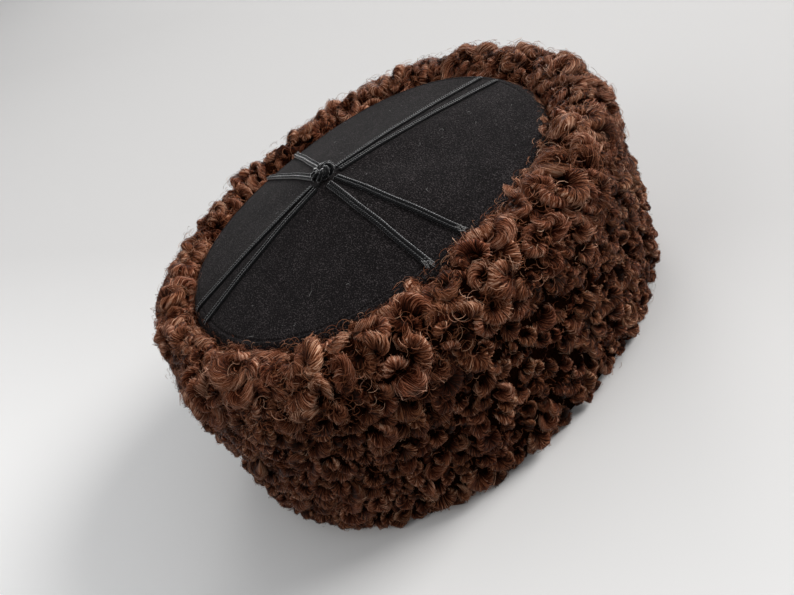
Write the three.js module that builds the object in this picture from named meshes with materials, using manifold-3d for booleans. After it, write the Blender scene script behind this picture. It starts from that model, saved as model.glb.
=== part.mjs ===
// A low oval fur hat: a band of tightly curled lambskin round a domed cloth crown, with four pairs of flat braid
// that run from the crown's edge to a cord knot at its peak.
// Millimetres, +Z up. The hem lies on Z = 0 round the origin, and the wearer faces -Y.
import * as THREE from "three";
import { mergeVertices } from "three/addons/utils/BufferGeometryUtils.js";
import Module from "manifold-3d";

const wasm = await Module();
wasm.setup();

// Driving dimensions: the plan ovals that the fur reaches at the hem and at the crest, and the pelt's height
const HEM_HALF_WIDTH = 99;
const HEM_HALF_LENGTH = 126;
const CREST_HALF_WIDTH = 102;
const CREST_HALF_LENGTH = 119;
const CREST_HEIGHT = 102.5;
const OVAL_POWER = 2.2;
const GAP = 0.3;

// Pelt wall: the hide and its padding. Depths are measured inwards from the plan oval, and the crown's seat
// lies a little to the back of it.
const WALL_OUTER_DEPTH = 12;
const HEM_INNER_DEPTH = 20;
const WALL_TOP_DEPTH = 26;
const WALL_TOP_HEIGHT = 84;
const SEAT_HEIGHT = 92;
const SEAT_THICKNESS = 2.5;
const SEAT_OUTER_DEPTH = 27.5;
const SEAT_INNER_DEPTH = 30.5;
const SEAT_SHIFT = 2;
const TOP_EDGE_DEPTH = 15;
const LOW_HEIGHT = 5;
const HEM_ROUNDING = 0.6;
const HEM_CLEARANCE = 0.8;
const WALL_SECTION = [
  { place: "hem outside", depth: WALL_OUTER_DEPTH + HEM_ROUNDING, height: 0 },
  { place: "low outside", depth: WALL_OUTER_DEPTH, height: LOW_HEIGHT },
  { place: "high outside", depth: WALL_OUTER_DEPTH, height: WALL_TOP_HEIGHT },
  { place: "top edge", depth: TOP_EDGE_DEPTH, height: SEAT_HEIGHT },
  { place: "seat edge", depth: SEAT_INNER_DEPTH, height: SEAT_HEIGHT },
  { place: "under the seat", depth: SEAT_INNER_DEPTH, height: SEAT_HEIGHT - SEAT_THICKNESS },
  { place: "high inside", depth: WALL_TOP_DEPTH, height: WALL_TOP_HEIGHT },
  { place: "hem inside", depth: HEM_INNER_DEPTH, height: 0 },
];

// The fleece's outer section from the hem up the wall, over the rolled crest and down to the crown's seat
const FLEECE_SECTION = [
  { place: "hem edge", depth: 8.5, height: HEM_CLEARANCE },
  { place: "hem turn", depth: 5.4, height: 4 },
  { place: "low wall", depth: 4.6, height: 16 },
  { place: "mid wall", depth: 4.4, height: 50 },
  { place: "high wall", depth: 4.8, height: 80 },
  { place: "shoulder", depth: 8.2, height: 96 },
  { place: "crest", depth: 16, height: CREST_HEIGHT },
  { place: "inner roll", depth: 22.8, height: 100.5 },
  { place: "crown seat", depth: SEAT_OUTER_DEPTH - GAP, height: SEAT_HEIGHT + GAP },
];

// The fleece's inner face, which follows the wall from its top edge down to the hem
const FLEECE_INSIDE = [
  { place: "top edge", depth: TOP_EDGE_DEPTH - GAP, height: SEAT_HEIGHT + GAP },
  { place: "high", depth: WALL_OUTER_DEPTH - GAP, height: WALL_TOP_HEIGHT + GAP },
  { place: "low", depth: WALL_OUTER_DEPTH - GAP, height: LOW_HEIGHT },
  { place: "hem", depth: WALL_OUTER_DEPTH - GAP, height: HEM_CLEARANCE },
];

// Broad swells and dents of the fleece: where each is centred, how wide it is, and how far it stands out
const SWELLS = [
  { place: "front crest", angle: -98, height: 101, spread: 34, reach: 22, out: 3.5 },
  { place: "front wall", angle: -104, height: 70, spread: 36, reach: 22, out: -2.5 },
  { place: "far back crest", angle: 58, height: 100, spread: 34, reach: 24, out: -2.5 },
  { place: "near back wall", angle: 112, height: 84, spread: 30, reach: 26, out: 2 },
];

// Curled locks: the cells of a staggered lattice on the fleece, each a roll of fleece bent round a pit
const LOCKS_ROUND = 32;
const LOCK_ROWS = 8;
const LOCK_STAND = 4.6;
const LIP_STAND = 0.2;
const LOCK_PIT = 1.6;
const LOCK_OPENING = 0.55;
const LOCK_CORNER_PULL = 0.84;
const LATTICE_ZIGZAG = 0.14;
const LATTICE_JITTER = 0.13;
const LOCK_RINGS = [
  { place: "flank", scale: 0.78, stand: 0.74 },
  { place: "ridge", scale: 0.48, stand: 1 },
];

// Crown cloth: a shallow tent over its own oval, with a narrow shoulder that turns down to the seat
const CLOTH_THICKNESS = 2;
const CROWN_HALF_WIDTH = CREST_HALF_WIDTH - SEAT_OUTER_DEPTH - GAP;
const CROWN_HALF_LENGTH = CREST_HALF_LENGTH - SEAT_OUTER_DEPTH - GAP + SEAT_SHIFT;
const PEAK = new THREE.Vector3(2, 11.5, 119.3);
const TENT_FALL = 18;
const TENT_POWER = 1.08;
const SHOULDER_START = 0.94;
const SHOULDER_FALL = 3.5;
const SHOULDER_POWER = 2.2;
const ARM_RIDGE = 1;
const CROWN_STATIONS = 40;
const CROWN_RINGS = [0.2, 0.45, 0.7, 0.86, 0.94, 0.97, 0.99, 1];
const UNDERSIDE_RINGS = [0.98, 0.92, 0.82, 0.45];

// Braid arms: the plan angle of each pair, how far apart its ends lie, and where it leaves the knot and ends
const BRAID_WIDTH = 3.2;
const BRAID_THICKNESS = 1.1;
const BRAID_START_SPREAD = 2;
const BRAID_ARMS = [
  { arm: "front", angle: -90, endSpread: 6, start: 0.068, end: 0.94 },
  { arm: "back", angle: 84.5, endSpread: 6.8, start: 0.085, end: 0.97 },
  { arm: "right", angle: 183.5, endSpread: 10, start: 0.069, end: 0.945 },
  { arm: "left", angle: -3, endSpread: 10, start: 0.069, end: 0.945 },
];

// Section of a flat braid, as shares of its width and thickness: two ribs with a groove between them
const BRAID_SECTION = [
  { across: -0.5, high: 0 },
  { across: -0.34, high: 1 },
  { across: 0, high: 0.55 },
  { across: 0.34, high: 1 },
  { across: 0.5, high: 0 },
];

// Knot: cord loops wound over a small core
const KNOT_HALF = new THREE.Vector3(4.6, 6.4, 3.4);
const KNOT_CORD = 0.23;
const KNOT_CORE = 0.84;
const KNOT_LOOPS = [
  { turn: 0, lean: 0 },
  { turn: 55, lean: 58 },
  { turn: -55, lean: 58 },
];

const hideMaterial = new THREE.MeshStandardMaterial({ color: 0x7d6450, roughness: 0.92, metalness: 0 });
const fleeceMaterial = new THREE.MeshStandardMaterial({ color: 0x4a2c1c, roughness: 0.85, metalness: 0 });
const clothMaterial = new THREE.MeshStandardMaterial({ color: 0x1b1a1b, roughness: 0.95, metalness: 0 });
const braidMaterial = new THREE.MeshStandardMaterial({ color: 0x0e0e10, roughness: 0.45, metalness: 0 });

// A repeatable number from -1 to 1 for a whole number
function wander(seed) {
  return 2 * THREE.MathUtils.seededRandom(seed * 7919 + 17) - 1;
}

function ovalPoint(halfWidth, halfLength, angle) {
  const across = Math.cos(angle);
  const along = Math.sin(angle);
  const power = 2 / OVAL_POWER;
  return new THREE.Vector2(
    halfWidth * Math.sign(across) * Math.abs(across) ** power,
    halfLength * Math.sign(along) * Math.abs(along) ** power,
  );
}

// A mesh that grows by points and faces
class Skin {
  constructor() {
    this.points = [];
    this.faces = [];
  }

  ring(points) {
    const start = this.points.length;
    this.points.push(...points);
    return points.map((point, i) => start + i);
  }

  // Faces between two rings of the same count, or between a ring and a pole
  strip(lower, upper) {
    const steps = Math.max(lower.length, upper.length);
    for (let i = 0; i < steps; i += 1) {
      const low = lower[i % lower.length];
      const lowNext = lower[(i + 1) % lower.length];
      const high = upper[i % upper.length];
      const highNext = upper[(i + 1) % upper.length];
      if (low !== lowNext) this.faces.push(low, lowNext, highNext);
      if (high !== highNext) this.faces.push(low, highNext, high);
    }
  }

  geometry() {
    const made = new THREE.BufferGeometry();
    const numbers = this.points.flatMap((point) => point.toArray());
    made.setAttribute("position", new THREE.Float32BufferAttribute(numbers, 3));
    made.setIndex(this.faces);
    return made;
  }
}

function piece(name, geometry, material) {
  geometry.computeVertexNormals();
  const mesh = new THREE.Mesh(geometry, material);
  mesh.name = name;
  return mesh;
}

// Band

function swellAt(angle, height) {
  let out = 0;
  for (const swell of SWELLS) {
    const turn = angle - THREE.MathUtils.degToRad(swell.angle);
    const away = Math.atan2(Math.sin(turn), Math.cos(turn)) / THREE.MathUtils.degToRad(swell.spread);
    const above = (height - swell.height) / swell.reach;
    out += swell.out * Math.exp(-away * away - above * above);
  }
  return out;
}

function bandPoint(angle, depth, height) {
  const rise = height / CREST_HEIGHT;
  const inwards = depth - swellAt(angle, height) * Math.max(0, 1 - depth / WALL_TOP_DEPTH);
  const shift = SEAT_SHIFT * THREE.MathUtils.smoothstep(depth, WALL_OUTER_DEPTH, SEAT_OUTER_DEPTH - GAP);
  const plan = ovalPoint(
    THREE.MathUtils.lerp(HEM_HALF_WIDTH, CREST_HALF_WIDTH, rise) - inwards,
    THREE.MathUtils.lerp(HEM_HALF_LENGTH, CREST_HALF_LENGTH, rise) - inwards + shift,
    angle,
  );
  return new THREE.Vector3(plan.x, plan.y + shift, height);
}

const fleeceCurve = new THREE.SplineCurve(FLEECE_SECTION.map((row) => new THREE.Vector2(row.depth, row.height)));

function fleecePoint(angle, share) {
  const section = fleeceCurve.getPointAt(THREE.MathUtils.clamp(share, 0, 1));
  return bandPoint(angle, section.x, section.y);
}

// The direction straight out of the fleece
function fleeceOut(angle, share) {
  const step = 0.01;
  const around = fleecePoint(angle + step, share).sub(fleecePoint(angle - step, share));
  const up = fleecePoint(angle, share + step).sub(fleecePoint(angle, share - step));
  return around.cross(up).normalize();
}

// A corner of the lattice of locks, as a plan angle and a share of the section
function latticeCorner(column, line) {
  const seed = (column % (2 * LOCKS_ROUND)) + 997 * line;
  const edge = line === 0 || line === LOCK_ROWS;
  const zigzag = (column + line) % 2 === 0 ? LATTICE_ZIGZAG : -LATTICE_ZIGZAG;
  const along = edge ? 0 : LATTICE_JITTER * 2 * wander(seed);
  const above = edge ? 0 : zigzag + LATTICE_JITTER * wander(seed + 40000);
  return new THREE.Vector2((Math.PI * (column + along)) / LOCKS_ROUND, (line + above) / LOCK_ROWS);
}

function standingPoint(place, stand) {
  const limit = THREE.MathUtils.smoothstep(place.y, 0.8, 0.93);
  const height = stand * THREE.MathUtils.lerp(LOCK_STAND, LIP_STAND, limit);
  const point = fleecePoint(place.x, place.y).addScaledVector(fleeceOut(place.x, place.y), height);
  return point.setZ(Math.max(point.z, HEM_CLEARANCE));
}

// One lock: its lattice corners are joined to a rising flank, a ridge that is low at the open end, and a pit
function addLock(skin, lines, column, row) {
  const wrap = (list, i) => list[i % list.length];
  const steps = [
    { column, line: row },
    { column: column + 1, line: row },
    { column: column + 2, line: row },
    { column: column + 2, line: row + 1 },
    { column: column + 1, line: row + 1 },
    { column, line: row + 1 },
  ];
  const seed = column + 773 * row;
  const corners = steps.map((step) => latticeCorner(step.column, step.line));
  const centre = corners.reduce((sum, corner) => sum.add(corner), new THREE.Vector2()).divideScalar(6);
  const openAt = row < LOCK_ROWS - 3 ? Math.PI / 2 + 0.9 * wander(seed + 100) : Math.PI * wander(seed + 100);
  const size = 1 + 0.16 * wander(seed + 200);
  let below = steps.map((step) => wrap(lines[step.line], step.column));
  for (const level of LOCK_RINGS) {
    const ring = corners.map((corner, k) => {
      const pull = k % 3 === 1 ? 1 : LOCK_CORNER_PULL;
      const place = centre.clone().lerp(corner, level.scale * pull);
      const faces = -Math.PI / 2 + ((k - 1) * Math.PI) / 3;
      const open = Math.max(0, Math.cos(faces - openAt)) ** 2 * LOCK_OPENING;
      return standingPoint(place, level.stand * size * (1 - open));
    });
    const next = skin.ring(ring);
    skin.strip(below, next);
    below = next;
  }
  skin.strip(below, skin.ring([standingPoint(centre, LOCK_PIT / LOCK_STAND)]));
}

const STATIONS = Array.from({ length: 2 * LOCKS_ROUND }, (unused, i) => (Math.PI * i) / LOCKS_ROUND);

function sectionRings(skin, section) {
  return section.map((row) => skin.ring(STATIONS.map((angle) => bandPoint(angle, row.depth, row.height))));
}

function peltWall() {
  const skin = new Skin();
  const rings = sectionRings(skin, WALL_SECTION);
  rings.forEach((ring, i) => skin.strip(ring, rings[(i + 1) % rings.length]));
  return skin.geometry();
}

function fleeceBand() {
  const skin = new Skin();
  const lines = [];
  for (let line = 0; line <= LOCK_ROWS; line += 1) {
    const corners = STATIONS.map((unused, column) => latticeCorner(column, line));
    lines.push(skin.ring(corners.map((corner) => fleecePoint(corner.x, corner.y))));
  }
  for (let row = 0; row < LOCK_ROWS; row += 1) {
    for (let i = 0; i < LOCKS_ROUND; i += 1) addLock(skin, lines, 2 * i + (row % 2), row);
  }
  const around = [lines[LOCK_ROWS], ...sectionRings(skin, FLEECE_INSIDE), lines[0]];
  for (let r = 0; r + 1 < around.length; r += 1) skin.strip(around[r], around[r + 1]);
  return skin.geometry();
}

// Crown

function crownRim(angle) {
  const rim = ovalPoint(CROWN_HALF_WIDTH, CROWN_HALF_LENGTH, angle);
  return rim.setY(rim.y + SEAT_SHIFT);
}

// The cloth's upper face at a plan angle about the peak and a share of the way from the peak to the edge
function crownPoint(angle, share, raise) {
  const rim = crownRim(angle);
  const turnDown = Math.max(0, (share - SHOULDER_START) / (1 - SHOULDER_START));
  const ridge = ARM_RIDGE * Math.cos(4 * angle) * Math.sin(Math.PI * Math.min(1, share / SHOULDER_START));
  const fall = TENT_FALL * share ** TENT_POWER + SHOULDER_FALL * turnDown ** SHOULDER_POWER;
  return new THREE.Vector3(
    THREE.MathUtils.lerp(PEAK.x, rim.x, share),
    THREE.MathUtils.lerp(PEAK.y, rim.y, share),
    PEAK.z - fall + ridge + raise,
  );
}

function crownRing(share, raise, inset) {
  const ring = [];
  for (let i = 0; i < CROWN_STATIONS; i += 1) {
    const point = crownPoint((2 * Math.PI * i) / CROWN_STATIONS, share, raise);
    const shift = new THREE.Vector3(point.x, point.y, 0).setLength(inset);
    ring.push(point.sub(shift));
  }
  return ring;
}

function crownCloth() {
  const skin = new Skin();
  const foot = SEAT_HEIGHT + GAP;
  const atFoot = (ring) => ring.map((point) => new THREE.Vector3(point.x, point.y, foot));
  const rings = [
    [PEAK.clone().setZ(PEAK.z - CLOTH_THICKNESS)],
    ...UNDERSIDE_RINGS.toReversed().map((share) => crownRing(share, -CLOTH_THICKNESS, CLOTH_THICKNESS * share)),
    atFoot(crownRing(1, 0, CLOTH_THICKNESS)),
    atFoot(crownRing(1, 0, 0)),
    ...CROWN_RINGS.toReversed().map((share) => crownRing(share, 0, 0)),
    [PEAK.clone()],
  ];
  const made = rings.map((ring) => skin.ring(ring));
  for (let r = 0; r + 1 < made.length; r += 1) skin.strip(made[r], made[r + 1]);
  return skin.geometry();
}

// Braid

// The crown point over a plan position: its plan angle is found by turning until the edge point lines up
function crownOver(x, y, raise) {
  const wanted = new THREE.Vector2(x - PEAK.x, y - PEAK.y);
  let angle = wanted.angle();
  let share = 0;
  for (let pass = 0; pass < 24; pass += 1) {
    const reach = crownRim(angle).sub(PEAK);
    share = wanted.length() / reach.length();
    angle += Math.atan2(reach.cross(wanted), reach.dot(wanted));
  }
  return { share, point: crownPoint(angle, share, raise) };
}

function braid(arm, side) {
  const angle = THREE.MathUtils.degToRad(arm.angle);
  const ahead = new THREE.Vector2(Math.cos(angle), Math.sin(angle));
  const across = new THREE.Vector2(-ahead.y, ahead.x);
  const reach = 1 / crownOver(PEAK.x + ahead.x, PEAK.y + ahead.y, 0).share;
  const between = CROWN_RINGS.filter((share) => share > arm.start && share < arm.end - 0.01);
  const skin = new Skin();
  const rings = [arm.start, ...between, arm.end].map((share) => {
    const spread = side * THREE.MathUtils.lerp(BRAID_START_SPREAD, arm.endSpread, share);
    const ring = BRAID_SECTION.map((corner) => {
      const plan = new THREE.Vector2(PEAK.x, PEAK.y).addScaledVector(ahead, reach * share);
      plan.addScaledVector(across, spread + corner.across * BRAID_WIDTH);
      return crownOver(plan.x, plan.y, GAP + corner.high * BRAID_THICKNESS).point;
    });
    return skin.ring(ring);
  });
  const middleOf = (ring) => ring.reduce((sum, i) => sum.add(skin.points[i]), new THREE.Vector3());
  const first = skin.ring([middleOf(rings[0]).divideScalar(BRAID_SECTION.length)]);
  const last = skin.ring([middleOf(rings.at(-1)).divideScalar(BRAID_SECTION.length)]);
  const all = [last, ...rings.toReversed(), first];
  for (let r = 0; r + 1 < all.length; r += 1) skin.strip(all[r], all[r + 1]);
  return skin.geometry();
}

// Knot

function toSolid(geometry) {
  geometry.deleteAttribute("normal");
  geometry.deleteAttribute("uv");
  const merged = mergeVertices(geometry, 1e-4);
  const positions = merged.attributes.position.array;
  const corners = new Uint32Array(merged.index.array);
  return new wasm.Manifold(new wasm.Mesh({ numProp: 3, vertProperties: positions, triVerts: corners }));
}

function knot() {
  const loops = KNOT_LOOPS.map((loop) => {
    const ring = new THREE.TorusGeometry(1 - KNOT_CORD, KNOT_CORD, 5, 11);
    ring.rotateX(THREE.MathUtils.degToRad(loop.lean));
    ring.rotateZ(THREE.MathUtils.degToRad(loop.turn));
    return toSolid(ring);
  });
  const core = toSolid(new THREE.SphereGeometry(KNOT_CORE, 9, 6));
  const mesh = wasm.Manifold.union([core, ...loops]).getMesh();
  const geometry = new THREE.BufferGeometry();
  geometry.setAttribute("position", new THREE.BufferAttribute(new Float32Array(mesh.vertProperties), 3));
  geometry.setIndex(new THREE.BufferAttribute(new Uint32Array(mesh.triVerts), 1));
  geometry.scale(KNOT_HALF.x, KNOT_HALF.y, KNOT_HALF.z);
  geometry.computeBoundingBox();
  geometry.translate(PEAK.x, PEAK.y, PEAK.z + GAP - geometry.boundingBox.min.z);
  return geometry;
}

const hat = new THREE.Group();
hat.add(piece("pelt_wall", peltWall(), hideMaterial));
hat.add(piece("fleece_band", fleeceBand(), fleeceMaterial));
hat.add(piece("crown_cloth", crownCloth(), clothMaterial));
for (const arm of BRAID_ARMS) {
  hat.add(piece(`braid_${arm.arm}_1`, braid(arm, -1), braidMaterial));
  hat.add(piece(`braid_${arm.arm}_2`, braid(arm, 1), braidMaterial));
}
hat.add(piece("crown_knot", knot(), braidMaterial));

export default hat;
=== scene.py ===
"""Looks of a low oval hat: curled brown lambskin round a black cloth crown with braid and a cord knot."""
import math

import bpy
import numpy as np
from mathutils import Matrix, Vector


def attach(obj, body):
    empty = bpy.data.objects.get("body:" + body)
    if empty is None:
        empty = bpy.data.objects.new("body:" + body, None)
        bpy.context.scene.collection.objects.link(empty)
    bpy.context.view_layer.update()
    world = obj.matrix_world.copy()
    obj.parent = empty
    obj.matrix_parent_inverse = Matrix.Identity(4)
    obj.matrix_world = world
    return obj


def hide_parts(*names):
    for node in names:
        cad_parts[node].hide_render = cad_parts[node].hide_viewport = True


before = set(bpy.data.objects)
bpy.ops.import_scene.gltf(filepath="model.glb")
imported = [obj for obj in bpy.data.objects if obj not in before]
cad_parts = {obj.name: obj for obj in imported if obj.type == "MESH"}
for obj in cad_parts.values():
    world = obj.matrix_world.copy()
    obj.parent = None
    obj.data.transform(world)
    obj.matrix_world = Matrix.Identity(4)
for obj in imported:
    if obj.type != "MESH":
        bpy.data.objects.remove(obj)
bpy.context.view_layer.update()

# Sizes are in millimetres here, and meshes are made in metres
MM = 0.001
SEED = 702

# Plan ovals that the fur reaches at the hem and at the crest
HEM_HALF_WIDTH = 99.0
HEM_HALF_LENGTH = 126.0
CREST_HALF_WIDTH = 102.0
CREST_HALF_LENGTH = 119.0
CREST_HEIGHT = 102.5
OVAL_POWER = 2.2
GAP = 0.3

# Pelt wall, the hide and its padding, as (depth inwards from the plan oval, height)
WALL_OUTER_DEPTH = 12.0
HEM_INNER_DEPTH = 20.0
WALL_TOP_DEPTH = 26.0
WALL_TOP_HEIGHT = 84.0
SEAT_HEIGHT = 92.0
SEAT_THICKNESS = 2.5
SEAT_OUTER_DEPTH = 27.5
SEAT_INNER_DEPTH = 30.5
SEAT_SHIFT = 2.0
TOP_EDGE_DEPTH = 15.0
HEM_CLEARANCE = 0.8
WALL_SECTION = [
    (WALL_OUTER_DEPTH + 0.6, 0.0),
    (WALL_OUTER_DEPTH, 5.0),
    (WALL_OUTER_DEPTH, WALL_TOP_HEIGHT),
    (TOP_EDGE_DEPTH, SEAT_HEIGHT),
    (SEAT_INNER_DEPTH, SEAT_HEIGHT),
    (SEAT_INNER_DEPTH, SEAT_HEIGHT - SEAT_THICKNESS),
    (WALL_TOP_DEPTH, WALL_TOP_HEIGHT),
    (HEM_INNER_DEPTH, 0.0),
]

# The fleece's outer section from the hem up the wall and over the crest to the crown's seat
FLEECE_SECTION = [
    (8.5, HEM_CLEARANCE),
    (5.4, 4.0),
    (4.6, 16.0),
    (4.4, 50.0),
    (4.8, 80.0),
    (8.2, 96.0),
    (16.0, CREST_HEIGHT),
    (22.8, 100.5),
    (SEAT_OUTER_DEPTH - GAP, SEAT_HEIGHT + GAP),
]

# The fleece's inner face, down along the wall
FLEECE_INSIDE = [
    (TOP_EDGE_DEPTH - GAP, SEAT_HEIGHT + GAP),
    (WALL_OUTER_DEPTH - GAP, WALL_TOP_HEIGHT + GAP),
    (WALL_OUTER_DEPTH - GAP, HEM_CLEARANCE),
]

# Broad swells and dents of the fleece: (plan angle, height, spread in degrees, reach, how far out)
SWELLS = [
    (-98, 101, 34, 22, 3.5),
    (-104, 70, 36, 22, -2.5),
    (58, 100, 34, 24, -2.5),
    (112, 84, 30, 26, 2.0),
]

# Crown cloth
CLOTH_THICKNESS = 2.0
CROWN_HALF_WIDTH = CREST_HALF_WIDTH - SEAT_OUTER_DEPTH - GAP
CROWN_HALF_LENGTH = CREST_HALF_LENGTH - SEAT_OUTER_DEPTH - GAP + SEAT_SHIFT
PEAK = np.array([2.0, 11.5, 119.3])
TENT_FALL = 18.0
TENT_POWER = 1.08
SHOULDER_START = 0.94
SHOULDER_FALL = 3.5
SHOULDER_POWER = 2.2
ARM_RIDGE = 1.0

# Camera, fitted to the photograph: where it stands, its axes, and its focal length in image widths
CAMERA_PLACE = (-264.50, 91.64, 266.89)
CAMERA_RIGHT = (-0.56172, -0.71773, -0.41151)
CAMERA_UP = (0.36414, -0.66111, 0.65600)
FOCAL_SHARE = 700 / 794
SENSOR_WIDTH = 36.0


def lerp(a, b, t):
    return a + (b - a) * t


def smooth(x, low, high):
    t = np.clip((x - low) / (high - low), 0, 1)
    return t * t * (3 - 2 * t)


def unit(vectors):
    return vectors / np.maximum(np.linalg.norm(vectors, axis=-1, keepdims=True), 1e-9)


# Surfaces

def oval(half_width, half_length, angle):
    across, along = np.cos(angle), np.sin(angle)
    power = 2 / OVAL_POWER
    x = half_width * np.sign(across) * np.abs(across) ** power
    y = half_length * np.sign(along) * np.abs(along) ** power
    return x, y


def swell_at(angle, height):
    out = np.zeros(np.broadcast(angle, height).shape)
    for centre, level, spread, reach, stand in SWELLS:
        turn = angle - math.radians(centre)
        away = np.arctan2(np.sin(turn), np.cos(turn)) / math.radians(spread)
        above = (height - level) / reach
        out = out + stand * np.exp(-away * away - above * above)
    return out


def band_point(angle, depth, height):
    rise = height / CREST_HEIGHT
    inwards = depth - swell_at(angle, height) * np.maximum(0, 1 - depth / WALL_TOP_DEPTH)
    half_width = lerp(HEM_HALF_WIDTH, CREST_HALF_WIDTH, rise) - inwards
    half_length = lerp(HEM_HALF_LENGTH, CREST_HALF_LENGTH, rise) - inwards
    shift = SEAT_SHIFT * smooth(depth, WALL_OUTER_DEPTH, SEAT_OUTER_DEPTH - GAP)
    x, y = oval(half_width, half_length + shift, angle)
    return np.stack(np.broadcast_arrays(x, y + shift, height), -1)


def spline_samples(points, per_span=60):
    """Points along a smooth curve through the given ones, with the length run up to each."""
    knots = np.array(points)
    padded = np.vstack([knots[:1], knots, knots[-1:]])
    t = np.linspace(0, 1, per_span, endpoint=False)[:, None]
    spans = []
    for p0, p1, p2, p3 in zip(padded, padded[1:], padded[2:], padded[3:]):
        v1, v2 = (p2 - p0) / 2, (p3 - p1) / 2
        spans.append((2 * (p1 - p2) + v1 + v2) * t**3 + (3 * (p2 - p1) - 2 * v1 - v2) * t**2 + v1 * t + p1)
    curve = np.vstack(spans + [knots[-1:]])
    run = np.concatenate([[0], np.cumsum(np.linalg.norm(np.diff(curve, axis=0), axis=1))])
    return curve, run


SECTION_CURVE, SECTION_RUN = spline_samples(FLEECE_SECTION)
SECTION_LENGTH = SECTION_RUN[-1]


def fleece_point(angle, share):
    run = np.clip(share, 0, 1) * SECTION_LENGTH
    depth = np.interp(run, SECTION_RUN, SECTION_CURVE[:, 0])
    height = np.interp(run, SECTION_RUN, SECTION_CURVE[:, 1])
    return band_point(angle, depth, height)


def fleece_frame(angle, share):
    """Point on the fleece, the way round the hat, the way up the section and the way out."""
    step = 0.012
    around = unit(fleece_point(angle + step, share) - fleece_point(angle - step, share))
    up = unit(fleece_point(angle, share + step) - fleece_point(angle, share - step))
    out = unit(np.cross(around, up))
    return fleece_point(angle, share), around, up, out


def crown_rim(angle):
    x, y = oval(CROWN_HALF_WIDTH, CROWN_HALF_LENGTH, angle)
    return x, y + SEAT_SHIFT


def crown_point(angle, share, raise_by=0.0):
    rim_x, rim_y = crown_rim(angle)
    turn_down = np.maximum(0, (share - SHOULDER_START) / (1 - SHOULDER_START))
    ridge = ARM_RIDGE * np.cos(4 * angle) * np.sin(math.pi * np.minimum(1, share / SHOULDER_START))
    fall = TENT_FALL * share**TENT_POWER + SHOULDER_FALL * turn_down**SHOULDER_POWER
    x = lerp(PEAK[0], rim_x, share)
    y = lerp(PEAK[1], rim_y, share)
    return np.stack(np.broadcast_arrays(x, y, PEAK[2] - fall + ridge + raise_by), -1)


def crown_place(x, y):
    """Plan angle and share of the way to the crown's edge of the cloth under x, y."""
    wanted_x, wanted_y = x - PEAK[0], y - PEAK[1]
    angle = np.arctan2(wanted_y, wanted_x)
    for _ in range(16):
        rim_x, rim_y = crown_rim(angle)
        reach_x, reach_y = rim_x - PEAK[0], rim_y - PEAK[1]
        cross = reach_x * wanted_y - reach_y * wanted_x
        angle = angle + np.arctan2(cross, reach_x * wanted_x + reach_y * wanted_y)
    return angle, np.hypot(wanted_x, wanted_y) / np.hypot(reach_x, reach_y)


def crown_over(x, y, raise_by=0.0):
    angle, share = crown_place(x, y)
    return crown_point(angle, share, raise_by)


# Meshes

def make_piece(name, points, faces, materials, attributes=None, face_material=None):
    """A mesh piece in metres from millimetre points and rows of quads, on the hat's one body."""
    mesh = bpy.data.meshes.new(name)
    faces = np.asarray(faces, np.int32)
    mesh.vertices.add(len(points))
    mesh.vertices.foreach_set("co", (np.asarray(points) * MM).astype(np.float32).ravel())
    mesh.loops.add(faces.size)
    mesh.loops.foreach_set("vertex_index", faces.ravel())
    mesh.polygons.add(len(faces))
    mesh.polygons.foreach_set("loop_start", np.arange(0, faces.size, faces.shape[1], dtype=np.int32))
    mesh.update(calc_edges=True)
    mesh.polygons.foreach_set("use_smooth", np.ones(len(faces), bool))
    for key, values in (attributes or {}).items():
        layer = mesh.attributes.new(key, "FLOAT", "POINT")
        layer.data.foreach_set("value", np.asarray(values, np.float32).ravel())
    for material in materials:
        mesh.materials.append(material)
    if face_material is not None:
        mesh.polygons.foreach_set("material_index", np.asarray(face_material, np.int32))
    piece = bpy.data.objects.new(name, mesh)
    bpy.context.scene.collection.objects.link(piece)
    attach(piece, "root")
    return piece


def grid_faces(rows, columns, close_rows=False, close_columns=False):
    """Quads of a grid of points, numbered row by row."""
    r = np.arange(rows if close_rows else rows - 1)
    c = np.arange(columns if close_columns else columns - 1)
    row, column = np.meshgrid(r, c, indexing="ij")
    next_row, next_column = (row + 1) % rows, (column + 1) % columns
    quads = [row * columns + column, row * columns + next_column,
             next_row * columns + next_column, next_row * columns + column]
    return np.stack(quads, -1).reshape(-1, 4)


def repeat_faces(faces, copies, points_each):
    """The same faces for many copies of a shape whose points follow one another."""
    start = np.arange(copies)[:, None, None] * points_each
    return (faces[None] + start).reshape(-1, faces.shape[1])


# Materials

def new_material(name):
    material = bpy.data.materials.new(name)
    material.use_nodes = True
    tree = material.node_tree
    return material, tree, tree.nodes["Principled BSDF"]


def ramp(tree, source, stops):
    node = tree.nodes.new("ShaderNodeValToRGB")
    while len(node.color_ramp.elements) < len(stops):
        node.color_ramp.elements.new(0.5)
    for element, (place, colour) in zip(node.color_ramp.elements, stops):
        element.position = place
        element.color = (*colour, 1)
    tree.links.new(source, node.inputs["Fac"])
    return node.outputs["Color"]


def noise(tree, scale, detail=4.0, roughness=0.6):
    place = tree.nodes.new("ShaderNodeTexCoord")
    node = tree.nodes.new("ShaderNodeTexNoise")
    node.inputs["Scale"].default_value = scale
    node.inputs["Detail"].default_value = detail
    node.inputs["Roughness"].default_value = roughness
    tree.links.new(place.outputs["Object"], node.inputs["Vector"])
    return node.outputs["Fac"]


def attribute(tree, name):
    node = tree.nodes.new("ShaderNodeAttribute")
    node.attribute_name = name
    return node.outputs["Fac"]


def math_node(tree, operation, a, b):
    node = tree.nodes.new("ShaderNodeMath")
    node.operation = operation
    for socket, value in zip(node.inputs, (a, b)):
        if isinstance(value, (int, float)):
            socket.default_value = value
        else:
            tree.links.new(value, socket)
    return node.outputs["Value"]


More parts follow.
